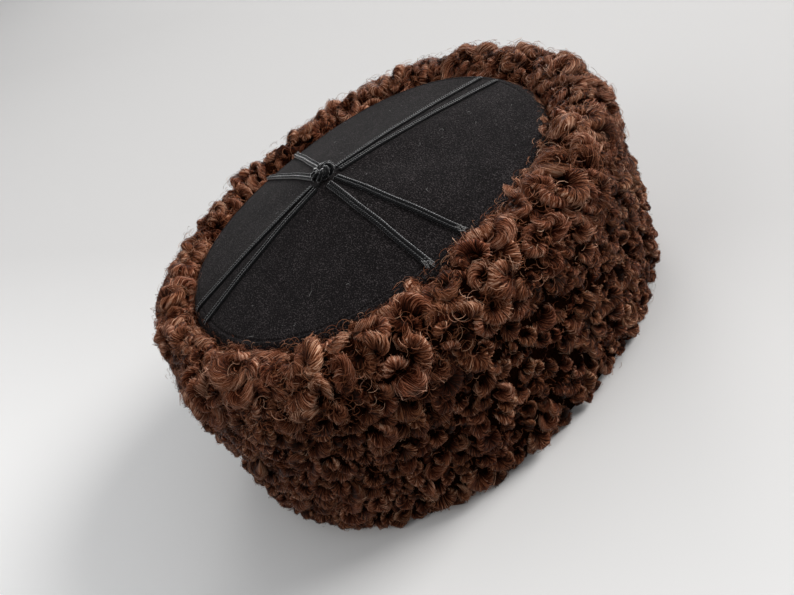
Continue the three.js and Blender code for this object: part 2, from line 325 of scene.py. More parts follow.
def bump(tree, shader, height, distance, strength=1.0):
    node = tree.nodes.new("ShaderNodeBump")
    node.inputs["Distance"].default_value = distance * MM
    node.inputs["Strength"].default_value = strength
    tree.links.new(height, node.inputs["Height"])
    tree.links.new(node.outputs["Normal"], shader.inputs["Normal"])


RED_STOPS = [
    (0.0, (0.004, 0.0004, 0.0001)),
    (0.35, (0.058, 0.0098, 0.0034)),
    (0.7, (0.300, 0.1030, 0.0530)),
    (1.0, (0.680, 0.4000, 0.2800)),
]
GOLD_STOPS = [
    (0.0, (0.004, 0.0006, 0.0001)),
    (0.35, (0.054, 0.0126, 0.0036)),
    (0.7, (0.282, 0.1230, 0.0550)),
    (1.0, (0.660, 0.4500, 0.2900)),
]


def mixed(tree, share, a, b):
    node = tree.nodes.new("ShaderNodeMixRGB")
    for socket, value in zip(node.inputs, (share, a, b)):
        tree.links.new(value, socket)
    return node.outputs["Color"]


def fleece_colour(tree, tone):
    return mixed(tree, attribute(tree, "gold"), ramp(tree, tone, RED_STOPS), ramp(tree, tone, GOLD_STOPS))


def fleece_gloss(shader, level):
    shader.inputs["Roughness"].default_value = 0.42
    shader.inputs["Specular IOR Level"].default_value = level
    shader.inputs["Specular Tint"].default_value = (1.0, 0.62, 0.42, 1)


def patchy_tone(tree):
    patches = math_node(tree, "MULTIPLY_ADD", noise(tree, 45.0, 2.0), 0.2)
    patches.node.inputs[2].default_value = -0.1
    return math_node(tree, "ADD", attribute(tree, "tone"), patches)


def hair_material():
    material, tree, shader = new_material("curled_fleece")
    tree.links.new(fleece_colour(tree, patchy_tone(tree)), shader.inputs["Base Color"])
    fleece_gloss(shader, 0.16)
    return material


def roll_material():
    """Packed hair of a lock: fine lines that follow its hairs across and along the roll."""
    material, tree, shader = new_material("rolled_fleece")
    place = tree.nodes.new("ShaderNodeCombineXYZ")
    tree.links.new(attribute(tree, "lane"), place.inputs["X"])
    tree.links.new(attribute(tree, "run"), place.inputs["Y"])
    lines = tree.nodes.new("ShaderNodeTexNoise")
    lines.noise_dimensions = "2D"
    lines.inputs["Scale"].default_value = 1.0
    lines.inputs["Detail"].default_value = 3.0
    lines.inputs["Roughness"].default_value = 0.7
    tree.links.new(place.outputs["Vector"], lines.inputs["Vector"])
    fine = math_node(tree, "MULTIPLY_ADD", lines.outputs["Fac"], 2.4)
    fine.node.inputs[2].default_value = -1.23
    tone = math_node(tree, "ADD", patchy_tone(tree), fine)
    tree.links.new(fleece_colour(tree, tone), shader.inputs["Base Color"])
    fleece_gloss(shader, 0.08)
    bump(tree, shader, lines.outputs["Fac"], 0.45)
    return material


def underwool_material():
    material, tree, shader = new_material("underwool_painted_gap_shade")
    # Near-black: painted shade of the deep gaps between the locks, on the base under them
    stops = [(0.3, (0.005, 0.0014, 0.0005)), (0.75, (0.022, 0.0068, 0.0028))]
    grain = noise(tree, 900.0, 3.0)
    tree.links.new(ramp(tree, grain, stops), shader.inputs["Base Color"])
    shader.inputs["Roughness"].default_value = 0.95
    shader.inputs["Specular IOR Level"].default_value = 0.0
    bump(tree, shader, grain, 0.8)
    return material


def hide_material():
    material, tree, shader = new_material("hide_inside")
    stops = [(0.3, (0.16, 0.10, 0.065)), (0.7, (0.27, 0.18, 0.12))]
    grain = noise(tree, 260.0, 6.0, 0.7)
    tree.links.new(ramp(tree, grain, stops), shader.inputs["Base Color"])
    shader.inputs["Roughness"].default_value = 0.92
    shader.inputs["Sheen Weight"].default_value = 0.2
    bump(tree, shader, grain, 0.25)
    return material


def cloth_material():
    material, tree, shader = new_material("black_wool_felt")
    fibre = noise(tree, 1800.0, 1.5, 0.7)
    stops = [
        (0.40, (0.0038, 0.0031, 0.0033)),
        (0.55, (0.0102, 0.0083, 0.0087)),
        (0.70, (0.062, 0.053, 0.054)),
    ]
    patch = noise(tree, 120.0, 3.0, 0.6)
    shade = math_node(tree, "MULTIPLY_ADD", patch, 0.16)
    shade.node.inputs[2].default_value = -0.08
    tree.links.new(ramp(tree, math_node(tree, "ADD", fibre, shade), stops), shader.inputs["Base Color"])
    shader.inputs["Roughness"].default_value = 0.95
    shader.inputs["Specular IOR Level"].default_value = 0.08
    shader.inputs["Sheen Weight"].default_value = 0.03
    shader.inputs["Sheen Roughness"].default_value = 0.45
    bump(tree, shader, fibre, 0.3)
    return material


def braid_material():
    """Black braid with a painted grey sheen in its colour where its threads are seen at a slant."""
    material, tree, shader = new_material("black_soutache")
    fibre = noise(tree, 3000.0, 3.0, 0.7)
    dark = ramp(tree, fibre, [(0.3, (0.0014, 0.0014, 0.0016)), (0.8, (0.008, 0.008, 0.009))])
    painted_sheen_colour = ramp(tree, fibre, [(0.35, (0.08, 0.081, 0.083)), (0.62, (0.72, 0.725, 0.73))])
    # Painted sheen: the colour turns grey where the surface is seen at a slant
    slant = tree.nodes.new("ShaderNodeLayerWeight")
    slant.inputs["Blend"].default_value = 0.5
    painted_sheen_mask = ramp(tree, slant.outputs["Facing"], [(0.55, (0, 0, 0)), (0.82, (1, 1, 1))])
    tree.links.new(mixed(tree, painted_sheen_mask, dark, painted_sheen_colour), shader.inputs["Base Color"])
    shader.inputs["Roughness"].default_value = 0.36
    shader.inputs["Specular IOR Level"].default_value = 0.12
    bump(tree, shader, fibre, 0.06)
    return material


def lint_material():
    material, tree, shader = new_material("pale_lint")
    stops = [(0.3, (0.10, 0.098, 0.096)), (0.8, (0.26, 0.255, 0.25))]
    tree.links.new(ramp(tree, noise(tree, 800.0, 2.0), stops), shader.inputs["Base Color"])
    shader.inputs["Roughness"].default_value = 0.7
    return material


HAIR = hair_material()
ROLL = roll_material()
UNDERWOOL = underwool_material()
HIDE = hide_material()
CLOTH = cloth_material()
BRAID = braid_material()
LINT = lint_material()


# Pelt

BAND_STATIONS = 180
WALL_STEP = 6.0
FLEECE_STEPS = 40


def band_rings(section, angle):
    level = np.ones_like(angle)
    return [band_point(angle, depth * level, height * level) for depth, height in section]


def finer(section, longest):
    """The same closed outline with steps no longer than the given length."""
    rows = []
    for (d0, h0), (d1, h1) in zip(section, section[1:] + section[:1]):
        steps = max(1, math.ceil(math.hypot(d1 - d0, h1 - h0) / longest))
        rows += [(lerp(d0, d1, i / steps), lerp(h0, h1, i / steps)) for i in range(steps)]
    return rows


def build_pelt():
    angle = np.arange(BAND_STATIONS) * 2 * math.pi / BAND_STATIONS
    wall = band_rings(finer(WALL_SECTION, WALL_STEP), angle)
    faces = grid_faces(len(wall), BAND_STATIONS, close_rows=True, close_columns=True)
    piece = make_piece("pelt_hide", np.concatenate(wall), faces, [HIDE])
    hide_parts("pelt_wall")
    skin = [fleece_point(angle, np.full_like(angle, share)) for share in np.linspace(0, 1, FLEECE_STEPS)]
    skin += band_rings(FLEECE_INSIDE, angle)
    faces = grid_faces(len(skin), BAND_STATIONS, close_rows=True, close_columns=True)
    piece = make_piece("fleece_base", np.concatenate(skin), faces, [UNDERWOOL])
    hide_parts("fleece_band")


# Locks of fleece

SPINE_STEPS = 24
SPINE_WANDER = 0.3
SPINE_SINK = 0.5
ROLL_STAND = 1.15
ROLL_WAVER = 0.09
ROLL_END_SHARE = 0.45
HAIR_OFF_FLOOR = 0.25
HAIR_OFF_CLOTH = 0.3


class Locks:
    """Many locks of fleece, one entry each: where they lie, how their spines bend, how their hair runs."""

    FIELDS = ("angle", "share", "heading", "bend", "turn", "spiral", "hand", "roll", "lift", "sweep", "tone",
              "gold", "wander", "lean")

    def __init__(self, **fields):
        for key in self.FIELDS:
            setattr(self, key, fields[key])
        self.lay_spines()

    def __len__(self):
        return len(self.angle)

    def part(self, chosen):
        return Locks(**{key: getattr(self, key)[chosen] for key in self.FIELDS})

    def lay_spines(self):
        """Runs each spine over the fleece as a bent line that tightens towards one end."""
        t = np.linspace(0, 1, SPINE_STEPS)
        wound = t - 0.5 + self.spiral[:, None] * t * (t - 1)
        heading = self.turn[:, None] * wound + self.heading[:, None]
        heading += SPINE_WANDER * np.sin(2 * math.pi * (1.3 * t + self.wander[:, None]))
        stride = (self.bend * self.turn)[:, None] / SPINE_STEPS
        across = np.cumsum(np.cos(heading) * stride, axis=1) * self.hand[:, None]
        above = np.cumsum(np.sin(heading) * stride, axis=1)
        across -= across.mean(axis=1, keepdims=True)
        above -= above.mean(axis=1, keepdims=True)
        step = 0.01
        ahead = fleece_point(self.angle + step, self.share)
        girth = np.linalg.norm(ahead - fleece_point(self.angle - step, self.share), axis=-1) / (2 * step)
        angle = self.angle[:, None] + across / girth[:, None]
        surface, _, _, out = fleece_frame(angle, self.share[:, None] + above / SECTION_LENGTH)
        along = unit(np.gradient(surface, axis=1))
        side = unit(np.cross(along, out)) * self.hand[:, None, None]
        fullness = ROLL_END_SHARE + (1 - ROLL_END_SHARE) * np.sin(math.pi * np.clip(t, 0.02, 0.98)) ** 0.6
        fullness = fullness * (1 + ROLL_WAVER * np.sin(2 * math.pi * (1.9 * t + 3 * self.wander[:, None])))
        middle = surface + out * (self.lift[:, None] * fullness - SPINE_SINK)[..., None]
        roll = (self.roll[:, None] * fullness)[..., None]
        over = ROLL_STAND * out + self.lean[:, None, None] * side
        self.frames = np.concatenate([middle, along, side, over, roll], axis=-1)

    def spine_frame(self, t):
        """Middle of the roll, the ways along it, out of its bend and to its crest, and its radius."""
        at = np.clip(t, 0, 1) * (SPINE_STEPS - 1)
        low = np.minimum(at.astype(int), SPINE_STEPS - 2)
        row = np.arange(len(self)).reshape((-1,) + (1,) * (t.ndim - 1))
        frames = lerp(self.frames[row, low], self.frames[row, low + 1], (at - low)[..., None])
        middle, along, side, over = (frames[..., i:i + 3] for i in (0, 3, 6, 9))
        return middle, unit(along), unit(side), over, frames[..., 12]


def keep_clear(points):
    """Lifts hair off the floor and off the crown's cloth."""
    points[:, 2] = np.maximum(points[:, 2], HAIR_OFF_FLOOR)
    inside = (np.abs(points[:, 0]) < CROWN_HALF_WIDTH) & (np.abs(points[:, 1]) < CROWN_HALF_LENGTH)
    inside &= points[:, 2] > SEAT_HEIGHT - 4
    over = points[inside]
    angle, share = crown_place(over[:, 0], over[:, 1])
    cloth = crown_point(angle, np.minimum(share, 1.0))[:, 2]
    over[:, 2] = np.where(share < 1.0, np.maximum(over[:, 2], cloth + HAIR_OFF_CLOTH), over[:, 2])
    points[inside] = over
    return points


def ribbons(spots, edges, widths):
    """Points and quads of ribbons along rows of spots, each as wide as its edge and width say."""
    strands, steps = spots.shape[0], spots.shape[1]
    offset = edges * (0.5 * widths)[..., None]
    points = np.stack([spots - offset, spots + offset], axis=2).reshape(-1, 3)
    return points, repeat_faces(grid_faces(steps, 2), strands, 2 * steps)


def clear_ribbons(spots, edges, widths):
    """Ribbons that are lifted off the floor and off the crown's cloth."""
    points, faces = ribbons(spots, edges, widths)
    return keep_clear(points), faces


HAIR_START = math.radians(205)
HAIR_END = math.radians(-40)
# Places along a hair, from its pit end to its tip, where painted shade and painted highlight are set
PAINTED_LIGHT_PLACES = (0.0, 0.3, 0.55, 0.75, 0.9, 1.0)


def around_roll(side, over, roll, phi):
    """Offset from the middle of a roll to a place round it."""
    return roll[..., None] * (np.cos(phi)[..., None] * side + np.sin(phi)[..., None] * over)


def lock_hair(locks, painted_light, hairs, steps, width, loose, rng):
    """Hairs that arch over each lock's roll, from the pit inside its bend to its outer foot."""
    shape = (len(locks), hairs)
    t0 = rng.uniform(0.02, 0.98, shape)
    sweep = locks.sweep[:, None] + 0.13 * rng.standard_normal(shape)
    reach = 1 + 0.06 * rng.standard_normal(shape)
    reach += np.where(rng.random(shape) < loose, 0.3 * rng.random(shape), 0)
    start = HAIR_START + 0.35 * rng.standard_normal(shape)
    end = HAIR_END + 0.35 * rng.standard_normal(shape)
    tilt = 0.45 * rng.standard_normal(shape)
    tone = locks.tone[:, None] + 0.02 + 0.19 * rng.standard_normal(shape)
    u = np.linspace(0, 1, steps + 1)
    middle, along, side, over, roll = locks.spine_frame(t0[..., None] + sweep[..., None] * (u - 0.5))
    phi = lerp(start[..., None], end[..., None], u)
    offset = around_roll(side, over, roll * reach[..., None], phi)
    edges = along * np.cos(tilt)[..., None, None] + unit(offset) * np.sin(tilt)[..., None, None]
    widths = np.broadcast_to(width * (0.35 + 0.65 * np.sin(math.pi * u) ** 0.5), phi.shape)
    rows = (v.reshape(-1, steps + 1, *v.shape[3:]) for v in (middle + offset, edges, widths))
    points, faces = clear_ribbons(*rows)
    # Painted shade and highlight along the hair: dark in the pit, lit on the crest, dark again at the tip
    shade = tone[..., None] + np.interp(u, PAINTED_LIGHT_PLACES, painted_light)
    none = np.zeros(len(points))
    gold = np.repeat(locks.gold, hairs * (steps + 1) * 2)
    return points, faces, {"tone": np.repeat(shade.reshape(-1), 2), "gold": gold, "lane": none, "run": none}


ROLL_SHARE = 0.93
# Painted shade: the roll under the loose hairs is made darker than they are
ROLL_PAINTED_SHADE = 0.06
LANE_WIDTH = 0.6
RUN_LENGTH = 5.0


def lock_rolls(locks, painted_light, rows, columns, rng):
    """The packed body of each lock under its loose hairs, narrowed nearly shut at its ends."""
    t = (1 - np.cos(math.pi * np.linspace(0, 1, rows))) / 2
    u = np.linspace(-0.06, 1.06, columns)
    grid = np.broadcast_to(t[:, None], (len(locks), rows, columns))
    middle, _, side, over, roll = locks.spine_frame(grid)
    ends = np.sin(math.pi * np.clip(grid, 0.002, 0.998)) ** 0.4
    phi = np.broadcast_to(lerp(HAIR_START, HAIR_END, u), grid.shape)
    points = keep_clear((middle + around_roll(side, over, ROLL_SHARE * roll * ends, phi)).reshape(-1, 3))
    length = (locks.bend * locks.turn)[:, None, None]
    lane = (grid - locks.sweep[:, None, None] * (u - 0.5)) * length / LANE_WIDTH
    lane = lane + 1000 * rng.random((len(locks), 1, 1))
    # The roll's tone carries painted shade under its loose hairs, and the painted pit shade and crest
    # highlight
    tone = locks.tone[:, None, None] - ROLL_PAINTED_SHADE + np.interp(u, PAINTED_LIGHT_PLACES, painted_light)
    run = np.broadcast_to(u * math.pi * locks.roll[:, None, None] / RUN_LENGTH, grid.shape)
    values = {"tone": np.broadcast_to(tone, grid.shape).ravel(), "lane": lane.ravel(), "run": run.ravel()}
    values["gold"] = np.repeat(locks.gold, rows * columns)
    return points, repeat_faces(grid_faces(rows, columns), len(locks), rows * columns), values


def lock_field(rows, pitch, low, high, jitter, rng):
    """Staggered places over a stretch of the pelt's section."""
    angles, shares = [], []
    for row in range(rows):
        share = lerp(low, high, (row + 0.5) / rows)
        girth = math.pi * (fleece_point(0.0, share)[0] + fleece_point(math.pi / 2, share)[1])
        count = round(girth / pitch)
        place = np.arange(count) + 0.5 * (row % 2) + jitter * rng.uniform(-1, 1, count)
        angles.append(place * 2 * math.pi / count)
        shares.append(share + jitter * rng.uniform(-1, 1, count) * (high - low) / rows)
    return np.concatenate(angles), np.concatenate(shares)


def clumps(angle, share, rng, waves=9):
    """A slow random swell over the pelt, about -1 to 1, that gathers the locks in clumps."""
    total = np.zeros_like(angle)
    for _ in range(waves):
        round_hat, up_pelt, phase = rng.integers(5, 22), rng.uniform(-24, 24), rng.uniform(0, 2 * math.pi)
        total += np.sin(round_hat * angle + up_pelt * share + phase)
    return total / math.sqrt(waves / 2)


def swept(count, fans, whorls, rng):
    """How far hairs run along their roll: hardly in a fan, partly in a swept lock, far in a whorl."""
    kind = rng.random(count)
    far = np.where(kind < fans + whorls, rng.uniform(0.7, 1.0, count), rng.uniform(0.2, 0.5, count))
    return np.where(kind < fans, 0.06 * rng.standard_normal(count), far * rng.choice([-1.0, 1.0], count))


def wall_locks(rng):
    """Curls that lie in rows round the wall, open upwards, with their lips hanging out."""
    angle, share = lock_field(12, 8.8, 0.015, 0.70, 0.34, rng)
    count = len(angle)
    size = np.exp(0.2 * rng.standard_normal(count).clip(-1.5, 2.0))
    size = size * (1 + 0.2 * smooth(share, 0.5, 0.68))
    swell = clumps(angle, share, rng)
    at_hem = 1 - smooth(share, 0.02, 0.12)
    # A band under the rim, strongest on the -X side, that lowers the locks and darkens their tone: a painted
    # shadow of the rim
    rim_shadow_band = smooth(share, 0.45, 0.66) * (0.65 - 0.35 * np.cos(angle))
    bumpy = 1 - 0.7 * at_hem
    return Locks(
        angle=angle,
        share=share,
        heading=0.6 * rng.standard_normal(count),
        bend=3.1 * size,
        turn=np.radians(rng.uniform(150, 290, count)),
        spiral=rng.uniform(-0.45, 0.45, count),
        hand=rng.choice([-1.0, 1.0], count),
        roll=2.05 * size * rng.uniform(0.85, 1.15, count),
        lift=2.7 - 0.8 * rim_shadow_band - 1.2 * at_hem + (0.8 * swell + 0.8 * rng.standard_normal(count)) * bumpy,
        sweep=swept(count, 0.4, 0.25, rng),
        # Tone: painted shadow in the band under the rim, painted light on raised clumps and painted shade on
        # sunken ones, and random spread
        tone=0.61 - 0.08 * rim_shadow_band + 0.04 * swell + 0.06 * rng.standard_normal(count),
        gold=rng.uniform(0.1, 0.6, count),
        wander=rng.random(count),
        lean=np.full(count, 0.45),
    )


def rim_locks(rng):
    """Thick rolls that lie every way over the rim."""
    angle, share = lock_field(6, 9.2, 0.685, 1.0, 0.32, rng)
    count = len(angle)
    size = np.exp(0.24 * rng.standard_normal(count).clip(-1.5, 1.6))
    size = size * (0.84 + 0.16 * smooth(share, 0.68, 0.8))
    swell = clumps(angle, share, rng)
    at_lip = smooth(share, 0.86, 0.97)
    return Locks(
        angle=angle,
        share=share,
        heading=rng.uniform(-math.pi, math.pi, count),
        bend=4.1 * size * (1 - 0.15 * at_lip),
        turn=np.radians(rng.uniform(110, 300, count)),
        spiral=rng.uniform(-0.5, 0.5, count),
        hand=rng.choice([-1.0, 1.0], count),
        roll=2.9 * size * rng.uniform(0.85, 1.15, count) * (1 - 0.15 * at_lip),
        lift=(2.0 + 1.0 * swell + 0.8 * rng.standard_normal(count)) * (1 - 0.4 * at_lip),
        sweep=swept(count, 0.2, 0.4, rng),
        # Tone: lighter on raised clumps and darker on sunken ones, painted light and shade, with random
        # spread
        tone=0.61 + 0.04 * swell + 0.04 * rng.standard_normal(count),
        gold=rng.uniform(0.0, 0.4, count),
        wander=rng.random(count),
        lean=np.full(count, 0.3),
    )


def under_locks(rows, pitch, low, high, roll, rng):
    """Smaller curls that fill in between the others, darker with painted shade."""
    angle, share = lock_field(rows, pitch, low, high, 0.45, rng)
    count = len(angle)
    size = np.exp(0.2 * rng.standard_normal(count).clip(-1.5, 1.5))
    return Locks(
        angle=angle,
        share=share,
        heading=rng.uniform(-math.pi, math.pi, count),
        bend=1.35 * roll * size,
        turn=np.radians(rng.uniform(110, 260, count)),
        spiral=rng.uniform(-0.5, 0.5, count),
        hand=rng.choice([-1.0, 1.0], count),
        roll=roll * size,
        lift=0.5 + 0.4 * rng.standard_normal(count),
        sweep=swept(count, 0.4, 0.2, rng),
        # Low tone: painted shade of the gaps these curls fill
        tone=0.3 + 0.05 * rng.standard_normal(count),
        gold=rng.uniform(0.1, 0.6, count),
        wander=rng.random(count),
        lean=np.full(count, 0.3),
    )


# Painted light along each hair and roll of a lock: painted shade in the pit, a painted highlight on the
# crest, painted shade again at the tip
WALL_PAINTED_SHADE_AND_HIGHLIGHT = (-0.6, -0.27, 0.0, 0.15, 0.03, -0.42)
RIM_PAINTED_SHADE_AND_HIGHLIGHT = (-0.6, -0.22, 0.03, 0.14, 0.02, -0.45)
WALL_HAIR = {"hairs": 26, "steps": 4, "width": 0.19, "loose": 0.12}
WALL_ROLL = {"rows": 11, "columns": 9}
RIM_HAIR = {"hairs": 42, "steps": 5, "width": 0.2, "loose": 0.3}
RIM_ROLL = {"rows": 13, "columns": 11}

# Smaller locks between the others: rows, pitch, lowest and highest share of the section, roll
WALL_UNDER = (12, 9.0, 0.01, 0.70, 1.9)
RIM_UNDER = (6, 9.0, 0.68, 1.0, 2.4)
UNDER_HAIR = {"hairs": 4, "steps": 3, "width": 0.22, "loose": 0.2}
UNDER_ROLL = {"rows": 8, "columns": 7}
SHORT_HAIRS = 2500
SHORT_STEPS = 3
SHORT_WIDTH = 0.3
SHORT_TURN = math.radians(230)

# Single hairs free of the locks: (how many, lowest and highest share of the section, bend, stand, width)
FRIZZ = [
    (5000, 0.66, 0.99, 3.4, 4.4, 0.16),
    (2000, 0.02, 0.68, 2.6, 3.0, 0.16),
    (260, 0.30, 0.97, 2.2, 6.0, 0.2),
]
FRIZZ_STEPS = 5
FRIZZ_TAPER = 2.2


def frizz(count, low, high, bend, stand, width, rng):
    """Hairs that curl free, lying loosely over the locks."""
    angle = rng.uniform(0, 2 * math.pi, count)
    root, around, up, out = fleece_frame(angle, rng.uniform(low, high, count))
    heading = rng.uniform(0, 2 * math.pi, count)[:, None]
    tip = 0.6 * rng.standard_normal(count)[:, None]
    ahead = around * np.cos(heading) + up * np.sin(heading)
    side = np.cross(ahead, out) * np.cos(tip) + out * np.sin(tip)
    turn = np.radians(rng.uniform(40, 150, count))
    run = np.linspace(-0.5, 0.5, FRIZZ_STEPS + 1)
    phi = turn[:, None] * run
    radial = np.cos(phi)[..., None] * side[:, None] + np.sin(phi)[..., None] * ahead[:, None]
    radius = bend * rng.uniform(0.45, 1.2, count)
    middle = root + out * (stand * rng.uniform(0.45, 1.1, count))[:, None]
    spots = middle[:, None] + radius[:, None, None] * radial
    taper = 0.5 + 0.5 * np.cos(FRIZZ_TAPER * run)
    widths = width * np.broadcast_to(taper, phi.shape)
    points, faces = clear_ribbons(spots, radial, widths)
    each = 2 * (FRIZZ_STEPS + 1)
    tone, gold = rng.normal(0.62, 0.13, count), rng.uniform(0, 0.6, count)
    return points, faces, {"tone": np.repeat(tone, each), "gold": np.repeat(gold, each)}


def short_hair(count, rng):
    """Short curls that stand all over the fleece between the locks."""
    angle = rng.uniform(0, 2 * math.pi, count)
    share = rng.uniform(0.01, 0.99, count)
    root, around, up, out = fleece_frame(angle, share)
    turn = rng.uniform(0, 2 * math.pi, count)[:, None]
    ahead = around * np.cos(turn) + up * np.sin(turn)
    side = np.cross(ahead, out)
    reach = rng.uniform(0.9, 1.9, count)
    phi = np.linspace(0, SHORT_TURN, SHORT_STEPS + 1)
    lie = (1 - np.cos(phi))[None, :, None] * ahead[:, None] + np.sin(phi)[None, :, None] * out[:, None]
    spots = root[:, None] + lie * reach[:, None, None]
    edges = np.broadcast_to(side[:, None], spots.shape)
    points, faces = clear_ribbons(spots, edges, np.full(spots.shape[:2], SHORT_WIDTH))
    each = 2 * (SHORT_STEPS + 1)
    # Darker tones: painted shade of the pits between the locks
    tone, gold = rng.uniform(0.25, 0.5, count), rng.uniform(0, 0.6, count)
    return points, faces, {"tone": np.repeat(tone, each), "gold": np.repeat(gold, each)}


def joined(parts):
    """One mesh's points, faces and point values from several."""
    starts = np.cumsum([0] + [len(part[0]) for part in parts])
    points = np.concatenate([part[0] for part in parts])
    faces = np.concatenate([part[1] + start for part, start in zip(parts, starts)])
    return points, faces, {key: np.concatenate([part[2][key] for part in parts]) for key in parts[0][2]}


def build_fleece():
    rng = np.random.default_rng(SEED)
    fields = [
        ("fleece_wall", wall_locks(rng), WALL_PAINTED_SHADE_AND_HIGHLIGHT, WALL_HAIR, WALL_ROLL, 4),
        ("fleece_rim", rim_locks(rng), RIM_PAINTED_SHADE_AND_HIGHLIGHT, RIM_HAIR, RIM_ROLL, 4),
        ("fleece_wall_under", under_locks(*WALL_UNDER, rng), WALL_PAINTED_SHADE_AND_HIGHLIGHT, UNDER_HAIR, UNDER_ROLL, 1),
        ("fleece_rim_under", under_locks(*RIM_UNDER, rng), RIM_PAINTED_SHADE_AND_HIGHLIGHT, UNDER_HAIR, UNDER_ROLL, 1),
    ]
    for name, locks, painted_light, hair, roll, pieces in fields:
        sector = ((locks.angle % (2 * math.pi)) / (2 * math.pi) * pieces).astype(int)
        for number in range(pieces):
            chosen = locks.part(sector == number)
            loose = lock_hair(chosen, painted_light, rng=rng, **hair)
            parts = [loose, lock_rolls(chosen, painted_light, rng=rng, **roll)]
            points, faces, values = joined(parts)
            material = np.repeat([0, 1], [len(part[1]) for part in parts])
            piece = make_piece(f"{name}_{number + 1}", points, faces, [HAIR, ROLL], values, material)
            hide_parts("fleece_band")
    points, faces, values = short_hair(SHORT_HAIRS, rng)
    piece = make_piece("fleece_short", points, faces, [HAIR], values)
    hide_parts("fleece_band")
    points, faces, values = joined([frizz(*row, rng) for row in FRIZZ])
    piece = make_piece("fleece_frizz", points, faces, [HAIR], values)
    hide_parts("fleece_band")


# Crown

CROWN_STATIONS = 160
CROWN_STEPS = 56
EDGE_STEPS = 26
SEAM_SHARE = 0.94
SEAM_WIDTH = 0.006
SEAM_DEPTH = 0.4
LINT_FIBRES = 46
LINT_STEPS = 5
LINT_WIDTH = 0.16


def lint(rng):
    """Loose pale fibres that lie curled on the cloth."""
    x, y = crown_rim(rng.uniform(0, 2 * math.pi, LINT_FIBRES))
    away = 0.95 * np.sqrt(rng.random(LINT_FIBRES))
    length = rng.gamma(2.0, 0.7, LINT_FIBRES)
    heading = rng.uniform(0, 2 * math.pi, LINT_FIBRES)
    curl = rng.normal(0, 2.2, LINT_FIBRES)
    u = np.linspace(0, 1, LINT_STEPS + 1)
    turn = heading[:, None] + curl[:, None] * u
    spot_x = (x * away)[:, None] + np.cumsum(np.cos(turn), axis=1) * length[:, None] / LINT_STEPS
    spot_y = (y * away)[:, None] + np.cumsum(np.sin(turn), axis=1) * length[:, None] / LINT_STEPS
    spots = crown_over(spot_x, spot_y, 0.2 + 0.25 * rng.random((LINT_FIBRES, 1)))
    edges = np.stack([-np.sin(turn), np.cos(turn), np.zeros_like(turn)], -1)
    return ribbons(spots, edges, np.full(spots.shape[:2], LINT_WIDTH))


def build_crown():
    angle = np.arange(CROWN_STATIONS) * 2 * math.pi / CROWN_STATIONS
    shares = np.concatenate([np.linspace(0.004, 0.91, CROWN_STEPS), np.linspace(0.915, 1, EDGE_STEPS)])
    rings = []
    for share in shares:
        seam = SEAM_DEPTH * math.exp(-(((share - SEAM_SHARE) / SEAM_WIDTH) ** 2))
        rings.append(crown_point(angle, np.full_like(angle, share), -seam))
    foot = rings[-1].copy()
    foot[:, 2] = SEAT_HEIGHT + GAP
    inner_foot = foot.copy()
    inner_foot[:, :2] *= 1 - CLOTH_THICKNESS / np.linalg.norm(foot[:, :2], axis=1, keepdims=True)
    rings += [foot, inner_foot]
    for share in shares[::-3]:
        ring = crown_point(angle, np.full_like(angle, share), -CLOTH_THICKNESS)
        ring[:, :2] -= unit(ring[:, :2]) * CLOTH_THICKNESS * share
        rings.append(ring)
    cloth = grid_faces(len(rings), CROWN_STATIONS, close_columns=True)[:, ::-1]
    fibre_points, fibres = lint(np.random.default_rng(SEED + 1))
    points = np.concatenate(rings + [fibre_points])
    faces = np.concatenate([cloth, fibres + len(rings) * CROWN_STATIONS])
    material = np.repeat([0, 1], [len(cloth), len(fibres)])
    piece = make_piece("crown_top", points, faces, [CLOTH, LINT], face_material=material)
    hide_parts("crown_cloth")


# Braids and knot

BRAID_THICKNESS = 1.1
BRAID_START_SPREAD = 1.7
BRAID_PLAIT = 1.25
BRAID_WANDER = 0.14
BRAID_STEPS = 260
BRAID_ACROSS = 13

# Arms of braid: (name, degrees, half spread at the end, shares where it starts and ends, width)
BRAID_ARMS = [
    ("front", -90, 6.0, 0.068, 0.94, 2.7),
    ("back", 84.5, 6.8, 0.085, 0.97, 3.2),
    ("right", 183.5, 10.0, 0.069, 0.945, 3.5),
    ("left", -3, 10.0, 0.069, 0.945, 3.5),
]

FRAYED_ARMS = ("right", "left")
FRAY_FIBRES = 26
FRAY_STEPS = 3
FRAY_WIDTH = 0.2


def fray(x, y, heading, width, rng):
    """Pale thread ends that show where a braid is cut off."""
    along = rng.uniform(-3.6, 0.4, FRAY_FIBRES)
    beside = rng.uniform(-0.45, 0.45, FRAY_FIBRES) * width
    start_x = x + along * math.cos(heading) - beside * math.sin(heading)
    start_y = y + along * math.sin(heading) + beside * math.cos(heading)
    turn = heading + 0.45 * rng.standard_normal(FRAY_FIBRES)
    run = rng.uniform(0.7, 1.9, FRAY_FIBRES)[:, None] * np.linspace(0, 1, FRAY_STEPS + 1)
    spot_x = start_x[:, None] + run * np.cos(turn)[:, None]
    spot_y = start_y[:, None] + run * np.sin(turn)[:, None]
    spots = crown_over(spot_x, spot_y, GAP + BRAID_THICKNESS * rng.uniform(0.75, 1.25, (FRAY_FIBRES, 1)))
    edges = np.stack([-np.sin(turn), np.cos(turn), np.zeros_like(turn)], -1)[:, None]
    return ribbons(spots, edges, np.full(spots.shape[:2], FRAY_WIDTH))


